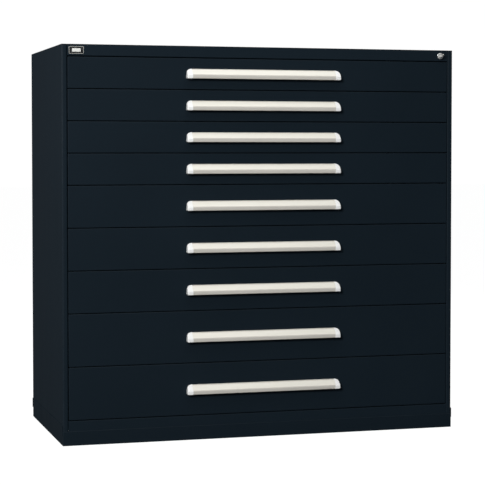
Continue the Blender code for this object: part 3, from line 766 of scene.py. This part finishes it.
def pull_section(pull, half_height, reach, lean):
    """The pull's middle line, seen from its end, as (y from the face, z from the middle).

    It climbs the flange, turns out over the shoulder, runs down the label face, and down the
    lip to the curl. The label face swells by crown sin(pi t), with t from 0 to 1 along it, and
    the lip leans back by lean.
    Returns the points, their left-hand normals, the distances along, and the face's two ends.
    """
    inner = -CLEARANCE - pull.wall / 2
    outside = pull.wall / 2 + 0.0004  # half the wall, and room for what swells over it
    top = half_height - outside
    out = reach - outside
    knee = pull.lip - half_height
    foot = out - lean
    corners = [
        (inner, top - pull.flange),
        (inner, top),
        (-pull.shoulder, top),
        (-out, knee),
        (-foot, -top),
        (pull.curl - foot, -top),
    ]
    points, normals = rounded_line(corners, PULL_FOLD)
    points, normals, along = evenly(points, normals, step=0.0004)
    cut_off = 0.0012  # what the first two bends take off the way round the corners
    start = pull.flange + pull.shoulder + inner - cut_off
    end = start + np.hypot(out - pull.shoulder, top - knee)
    t = np.clip((along - start) / (end - start), 0, 1)
    points = points - normals * (pull.crown * np.sin(pi * t))[:, None]
    return points, normals, along, start, end


class CHEST_OT_pulls(Operator):
    """Makes each drawer's pull: the extrusion, its label strip and its two end caps"""

    bl_idname = "chest.pulls"
    bl_label = "Pulls"

    def execute(self, context):
        pull = context.scene.chest_pull
        for number in DRAWERS:
            node = f"drawer_{number}_handle"
            body = f"drawer_{number}"
            low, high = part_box(node)
            half = (high.x - low.x) / 2
            half_height = (high.z - low.z) / 2
            place = np.array((high.y + CLEARANCE, (low.z + high.z) / 2))
            reach = place[0] - low.y
            section = pull_section(pull, half_height, reach, pull.lip_lean)
            points, normals, along, start, end = section
            ridges = (start + 0.0030, end - 0.0016)
            bead_width = 0.0008
            beads = sum(np.exp(-(((along - ridge) / bead_width) ** 2)) for ridge in ridges)
            outer = points - normals * (pull.wall / 2 + pull.bead * beads)[:, None]
            inner = points + normals * pull.wall / 2
            outline = np.concatenate([outer, inner[::-1]]) + place
            bar_end = half - pull.cap_length + 0.001
            bar = carried(outline, -bar_end, bar_end, 0)
            piece(f"drawer_{number}_pull", [bar], "handle_cream", body, [node])

            face = (along > ridges[0] + 0.0010) & (along < ridges[1] - 0.0010)
            under = points[face] - normals[face] * (pull.wall / 2 + CARD_GAP)
            over = under - normals[face] * CARD
            strip = np.concatenate([over, under[::-1]]) + place
            label = carried(strip, -bar_end, bar_end, 0)
            piece(f"drawer_{number}_label", [label], "label_paper", body)

            points, normals = pull_section(pull, half_height, reach, 0.0)[:2]
            hood = points - normals * (pull.wall / 2 + CLEARANCE)
            closing = np.array([(-CLEARANCE, hood[-1, 1])])
            section = np.concatenate([hood, closing])
            for word, side in SIDES:
                cap = pull_cap(pull, section, half, side, place)
                piece(f"drawer_{number}_pull_cap_{word}", [cap], "handle_cap_white", body)
        return {"FINISHED"}


def pull_cap(pull, section, half, side, place):
    """An end cap: the hood's section carried outwards to an end that is round at its upper corner.

    The end lies at half - corner (1 - sqrt(1 - t^2)) - flare s, with t from 0 to 1 up the
    corner and s from 0 to 1 up the whole cap. Near the end the section shrinks towards its
    middle by a quarter round, and then to a point.
    """
    middle = (section.max(axis=0) + section.min(axis=0)) / 2
    turn = np.linspace(0, pi / 2, 7)
    fillet = 0.0040
    half_section = 0.012
    rounding = 1 - fillet / half_section * (1 - np.cos(turn))
    closing = rounding[-1] * np.array([0.75, 0.5, 0.25, 0.0])
    shrink = np.concatenate([[0.0, 0.5, 1.0], rounding, closing])
    share = np.concatenate([np.zeros(3), np.ones(11)])
    back = np.concatenate([np.zeros(3), fillet * (1 - np.sin(turn)), np.zeros(4)])
    loops = middle + shrink[:, None, None] * (section - middle)
    top = section[:, 1].max()
    bottom = section[:, 1].min()
    t = np.clip((loops[:, :, 1] - top + pull.cap_corner) / pull.cap_corner, 0, 1)
    s = (loops[:, :, 1] - bottom) / (top - bottom)
    end = half - pull.cap_corner * (1 - np.sqrt(1 - t**2)) - pull.cap_flare * s
    near = half - pull.cap_length
    across = side * (near + share[:, None] * (end - near - back[:, None]))
    yz = loops + place
    return skin(np.stack([across, yz[:, :, 0], yz[:, :, 1]], axis=-1))


class CHEST_OT_drawer_screws(Operator):
    """Makes the screws inside each drawer that hold its pull"""

    bl_idname = "chest.drawer_screws"
    bl_label = "Pull Screws"

    def execute(self, context):
        for number in DRAWERS:
            low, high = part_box(f"drawer_{number}_handle")
            wall_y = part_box(f"drawer_{number}_box")[0].y + 0.0015
            level = high.z - 0.010
            reach = (high.x - low.x) / 2 - 0.05
            heads = []
            t = np.linspace(0, pi / 2, 6)
            radius = 0.0045
            dome = np.stack([radius * np.cos(t), 0.0010 + 0.0016 * np.sin(t)], axis=1)
            profile = np.concatenate([[(0, 0), (radius, 0)], dome])
            for x in np.linspace(-reach, reach, 4):
                heads.append(turned(profile, (x, wall_y, level), (0, 1, 0), steps=20))
            piece(f"drawer_{number}_pull_screws", heads, "zinc_plated_steel", f"drawer_{number}")
        return {"FINISHED"}


def roller_profile(radius, width):
    """A roller's half section: rounded rims, a dish in its outer face, and a rivet head in that."""
    t = np.linspace(0, pi / 2, 5)
    rim = 0.0014
    head = radius * 0.34
    dish_floor = width - 0.0014
    outer = np.stack([radius - rim + rim * np.cos(t), width - rim + rim * np.sin(t)], axis=1)
    dish = [(radius * 0.66, width), (radius * 0.60, dish_floor), (head, dish_floor)]
    rivet = np.stack([head * np.cos(t), width - 0.0012 + 0.0010 * np.sin(t)], axis=1)
    return np.concatenate([[(0, 0), (radius - rim, 0), (radius, rim)], outer, dish, rivet])


class CHEST_OT_slides(Operator):
    """Makes the slide carriers: a plated bar with rollers towards the housing and the drawer"""

    bl_idname = "chest.slides"
    bl_label = "Slides"

    def execute(self, context):
        slide = context.scene.chest_slide
        profile = roller_profile(slide.roller_radius, slide.roller_width)
        for number in DRAWERS:
            for word, side in SIDES:
                node = f"drawer_{number}_slide_{word}"
                low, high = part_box(node)
                middle = (low + high) / 2
                inner_x = middle.x - slide.bar_sheet / 2
                size = (high.y - low.y, high.z - low.z)
                origin = (inner_x, middle.y, middle.z)
                corner = 0.006
                edge = 0.0006
                bar = plate(*size, corner, slide.bar_sheet, edge, origin, FACING_SIDE)
                piece(node + "_bar", [bar], "zinc_plated_steel", f"slides_{number}", [node])
                rollers = []
                reach = slide.bar_sheet / 2
                for step in np.linspace(0, slide.span, slide.rollers):
                    outer = (middle.x + side * reach, high.y - slide.end - step, middle.z)
                    inner = (middle.x - side * reach, low.y + slide.end + step, middle.z)
                    rollers.append(turned(profile, outer, (side, 0, 0), steps=28))
                    rollers.append(turned(profile, inner, (-side, 0, 0), steps=28))
                piece(node + "_rollers", rollers, "key_nickel", f"slides_{number}")
        return {"FINISHED"}


class CHEST_OT_name_plate(Operator):
    """Makes the blank name plate: a dark plate, its raised pale frame and a pale field"""

    bl_idname = "chest.name_plate"
    bl_label = "Name Plate"

    def execute(self, context):
        low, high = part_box("name_plate")
        width = high.x - low.x
        height = high.z - low.z
        middle = (low + high) / 2
        corner = 0.003
        edge = 0.0002
        rise = 0.0004
        origin = (middle.x, low.y + rise, middle.z)
        back = plate(width, height, corner, 0.0008, edge, origin, FACING_FRONT)
        piece("name_plate_back", [back], "plate_face", "cabinet", ["name_plate"])
        t = np.linspace(0, 2 * pi, 12, endpoint=False)
        insets = 0.0011 + 0.0008 * np.cos(t)
        depths = rise * (1 - np.sin(t))
        origin = (middle.x, low.y, middle.z)
        ring = stepped(width, height, corner, insets, depths, origin, FACING_FRONT, hollow=True)
        origin = (middle.x, low.y + 0.0001, middle.z)
        field = plate(width * 0.58, height * 0.46, 0.0012, 0.0005, edge, origin, FACING_FRONT)
        piece("name_plate_frame", [ring], "plate_face", "cabinet", finish="plate_frame")
        piece("name_plate_field", [field], "plate_face", "cabinet", finish="plate_field")
        return {"FINISHED"}


class CHEST_OT_lock(Operator):
    """Makes the lock's flanged case and its key"""

    bl_idname = "chest.lock"
    bl_label = "Lock and Key"

    def execute(self, context):
        lock = context.scene.chest_lock
        low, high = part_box("lock_case")
        centre = np.array(((low.x + high.x) / 2, FACE_Y, (low.z + high.z) / 2))
        depth = lock.bezel_depth
        edge = 0.0012
        t = np.linspace(0, pi / 2, 5)
        rim_radius = lock.bezel_radius - edge * (1 - np.sin(t))
        rim = np.stack([rim_radius, depth - edge * (1 - np.cos(t))], axis=1)
        profile = [
            (lock.bore_radius, FACE_Y - high.y),
            (lock.case_radius, FACE_Y - high.y),
            (lock.case_radius, CLEARANCE),
            (lock.bezel_radius, CLEARANCE),
            *rim[::-1],
            (lock.bore_radius + 0.0018, depth),
            (lock.bore_radius + 0.0012, depth - 0.0006),
            (lock.bore_radius, depth - 0.0006),
        ]
        case = turned(profile, centre, (0, -1, 0), hollow=True, steps=64)
        piece("lock_bezel", [case], "lock_chrome", "cabinet", ["lock_case"])
        key_low, key_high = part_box("lock_key")
        shapes = key_shapes(lock, FACE_Y - key_low.y, key_high.y - FACE_Y)
        turn = np.array(Matrix.Rotation(-lock.turn, 3, "Y"))
        placed = [(centre + points @ turn.T, faces, wear) for points, faces, wear in shapes]
        piece("key", placed, "key_nickel", "lock", ["lock_key"])
        return {"FINISHED"}


def squared(t, power=0.35):
    """A sine or cosine pushed towards -1 and 1, which squares a round section."""
    return np.sign(t) * np.abs(t) ** power


def key_shapes(lock, reach, depth):
    """The key, standing out of the lock along -Y with its flat across X.

    The bow is a ring: at angle a its inner edge is the hole, its outer edge the bow's circle,
    and its section a squared ellipse between them. The blade is a squared bar whose lower
    edge has four cuts.
    """
    angle = np.linspace(0, 2 * pi, 48, endpoint=False)[:, None]
    section = np.linspace(0, 2 * pi, 20, endpoint=False)[None, :]
    hole_y = -reach + lock.bow_radius * 0.62
    centre_y = -reach + lock.bow_radius
    inner = np.stack([lock.bow_hole * np.cos(angle), hole_y + lock.bow_hole * np.sin(angle)])
    outer = np.stack([lock.bow_radius * np.cos(angle), centre_y + lock.bow_radius * np.sin(angle)])
    share = 0.5 + 0.5 * squared(np.cos(section))
    flat = inner + (outer - inner) * share
    thick = lock.key_sheet / 2 * squared(np.sin(section)) * np.ones_like(angle)
    bow = skin(np.stack([flat[0], flat[1], thick], axis=-1), hollow=True)
    along = np.linspace(0, 1, 60)[:, None]
    root = -0.0062
    y = root + along * (depth - root)
    cut_turns = 2 * pi * 4 * np.clip((along - 0.38) / 0.58, 0, 1)
    cuts = 0.22 * (0.5 - 0.5 * np.cos(cut_turns))
    tip = np.clip((along - 0.92) / 0.08, 0, 1)
    taper = np.sqrt(np.clip(1 - tip**2, 0.02, 1))
    across = squared(np.cos(section))
    lower = np.where(across < 0, across * (1 - cuts), across)
    x = lock.blade / 2 * lower * taper
    z = lock.key_sheet / 2 * 0.92 * squared(np.sin(section)) * np.ones_like(along)
    blade = skin(np.stack(np.broadcast_arrays(x, y, z), axis=-1))
    return [bow, blade]


class CHEST_OT_back(Operator):
    """Makes the back sheet, with the shallow dimples of its spot welds"""

    bl_idname = "chest.back"
    bl_label = "Back"

    def execute(self, context):
        low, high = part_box("back_panel")
        columns, across = weld_lines(low.x, high.x, WELD_INSETS[0], 15)
        rows, up = weld_lines(low.z, high.z, WELD_INSETS[1], 13)
        x, z = np.meshgrid(columns, rows, indexing="ij")
        deepest = 0.0005
        dent = deepest * weld_dents(x, z, across, up)
        outer = np.stack([x, high.y - dent, z], axis=-1)
        inner = np.stack([x, np.full_like(x, low.y), z], axis=-1)
        sheet = closed_slab(outer, inner)
        piece("back_sheet", [sheet], "housing_paint", "cabinet", ["back_panel"])
        return {"FINISHED"}


def weld_lines(low, high, inset, count):
    """Grid places from edge to edge, closely spaced round each weld, and the welds' own places."""
    welds = np.linspace(low + inset, high - inset, count)
    near = (welds[:, None] + np.linspace(-0.005, 0.005, 7)).ravel()
    return np.concatenate([[low], near, [high]]), welds


def weld_dents(x, z, across, up):
    """1 in the middle of each spot weld along the edges, falling off as exp(-(r / radius)^2)."""
    places = [(a, b) for a in across for b in up[[0, -1]]]
    places += [(a, b) for a in across[[0, -1]] for b in up]
    nearest = np.min([(x - a) ** 2 + (z - b) ** 2 for a, b in places], axis=0)
    return np.exp(-nearest / WELD_RADIUS**2)


def closed_slab(outer, inner):
    """A slab between two grids of points: the two faces and a wall of quads round their rims."""
    rows, columns = outer.shape[:2]
    row, column = np.meshgrid(np.arange(rows - 1), np.arange(columns - 1), indexing="ij")
    corner = (row * columns + column).ravel()
    face = np.stack([corner, corner + 1, corner + columns + 1, corner + columns], axis=1)
    count = rows * columns
    rim = np.concatenate([
        np.arange(columns),
        np.arange(1, rows) * columns + columns - 1,
        (rows - 1) * columns + np.arange(columns - 2, -1, -1),
        np.arange(rows - 2, 0, -1) * columns,
    ])
    after = np.roll(rim, -1)
    wall = np.stack([rim, after, after + count, rim + count], axis=1)
    faces = np.concatenate([face, face[:, ::-1] + count, wall]).tolist()
    points = np.concatenate([outer.reshape(-1, 3), inner.reshape(-1, 3)])
    return points, faces, np.zeros(2 * count)


class CHEST_OT_finishes(Operator):
    """Gives the remaining pieces of the frame their finishes"""

    bl_idname = "chest.finishes"
    bl_label = "Finishes"

    def execute(self, context):
        for entry in frame["record"]["subparts"]:
            node = frame["nodes"][entry["node"]]
            node.data.materials.clear()
            node.data.materials.append(material_for(entry["material_slot"]))
        return {"FINISHED"}


class CHEST_OT_studio(Operator):
    """Makes the floor, the soft lights, the pale surroundings and the camera"""

    bl_idname = "chest.studio"
    bl_label = "Studio"

    def execute(self, context):
        scene = context.scene
        studio = scene.chest_studio
        mesh = bpy.data.meshes.new("floor")
        corners = [(-40, -40, 0), (40, -40, 0), (40, 40, 0), (-40, 40, 0)]
        mesh.from_pydata(corners, [], [(0, 1, 2, 3)])
        mesh.materials.append(material_for("floor"))
        floor = bpy.data.objects.new("floor", mesh)
        scene.collection.objects.link(floor)
        floor.visible_glossy = False
        floor.visible_diffuse = False

        self.softbox("light_above", (-0.4, -1.6, 5.2), (0.0, -0.3, 0.4), 4.2, 95)
        self.softbox("light_front", (-4.2, -6.4, 3.3), (0.0, -0.3, 0.6), 2.2, 462)
        self.softbox("light_side", (-3.4, 0.6, 2.0), (-0.7, 0.0, 0.8), 1.6, 31)
        self.softbox("light_right", (3.6, 0.9, 2.4), (0.7, 0.0, 0.8), 1.6, 60)
        self.softbox("light_rear", (1.5, 4.8, 2.7), (0.0, 0.3, 0.7), 2.0, 150)

        world = bpy.data.worlds.new("surroundings")
        world.use_nodes = True
        tree = world.node_tree
        tree.nodes.clear()
        path = tree.nodes.new("ShaderNodeLightPath")
        mix = tree.nodes.new("ShaderNodeMixShader")
        output = tree.nodes.new("ShaderNodeOutputWorld")
        tree.links.new(path.outputs["Is Camera Ray"], mix.inputs[0])
        tree.links.new(mix.outputs[0], output.inputs["Surface"])
        glows = (((0.80, 0.90, 1.0, 1), 0.08), ((1, 1, 1, 1), 1.02))
        for socket, (colour, strength) in enumerate(glows, 1):
            glow = tree.nodes.new("ShaderNodeBackground")
            glow.inputs["Color"].default_value = colour
            glow.inputs["Strength"].default_value = strength
            tree.links.new(glow.outputs[0], mix.inputs[socket])
        scene.world = world
        scene.view_settings.view_transform = "Standard"

        data = bpy.data.cameras.new("camera")
        data.lens = studio.lens
        data.sensor_width = 36
        data.shift_y = studio.rise
        camera = bpy.data.objects.new("camera", data)
        camera.location = studio.camera
        camera.rotation_euler = (pi / 2 - studio.dip, 0, -studio.heading)
        scene.collection.objects.link(camera)
        scene.camera = camera
        return {"FINISHED"}

    def softbox(self, name, place, target, size, power):
        """A square soft light that faces its target."""
        data = bpy.data.lights.new(name, "AREA")
        data.shape = "SQUARE"
        data.size = size
        data.energy = power
        light = bpy.data.objects.new(name, data)
        light.location = place
        light.rotation_euler = (Vector(target) - Vector(place)).to_track_quat("-Z", "Y").to_euler()
        bpy.context.scene.collection.objects.link(light)


OPERATORS = (
    CHEST_OT_finishes,
    CHEST_OT_housing,
    CHEST_OT_base,
    CHEST_OT_back,
    CHEST_OT_drawer_fronts,
    CHEST_OT_pulls,
    CHEST_OT_drawer_screws,
    CHEST_OT_slides,
    CHEST_OT_name_plate,
    CHEST_OT_lock,
    CHEST_OT_studio,
)


class CHEST_PT_tools(Panel):
    """The chest's pieces and their sizes"""

    bl_idname = "CHEST_PT_tools"
    bl_label = "Chest of Drawers"
    bl_space_type = "VIEW_3D"
    bl_region_type = "UI"
    bl_category = "Chest"

    def draw(self, context):
        for operator in OPERATORS:
            self.layout.operator(operator.bl_idname)
        for name in SETTINGS:
            box = self.layout.box()
            for key in getattr(context.scene, name).__annotations__:
                box.prop(getattr(context.scene, name), key)


def register():
    for cls in (*SETTINGS.values(), *OPERATORS, CHEST_PT_tools):
        bpy.utils.register_class(cls)
    for name, cls in SETTINGS.items():
        setattr(bpy.types.Scene, name, PointerProperty(type=cls))


def unregister():
    for name in SETTINGS:
        delattr(bpy.types.Scene, name)
    for cls in (CHEST_PT_tools, *reversed(OPERATORS), *reversed(SETTINGS.values())):
        bpy.utils.unregister_class(cls)


def main():
    """Makes every piece in order."""
    register()
    for operator in OPERATORS:
        group, name = operator.bl_idname.split(".")
        getattr(getattr(bpy.ops, group), name)()


if __name__ == "__main__":
    main()
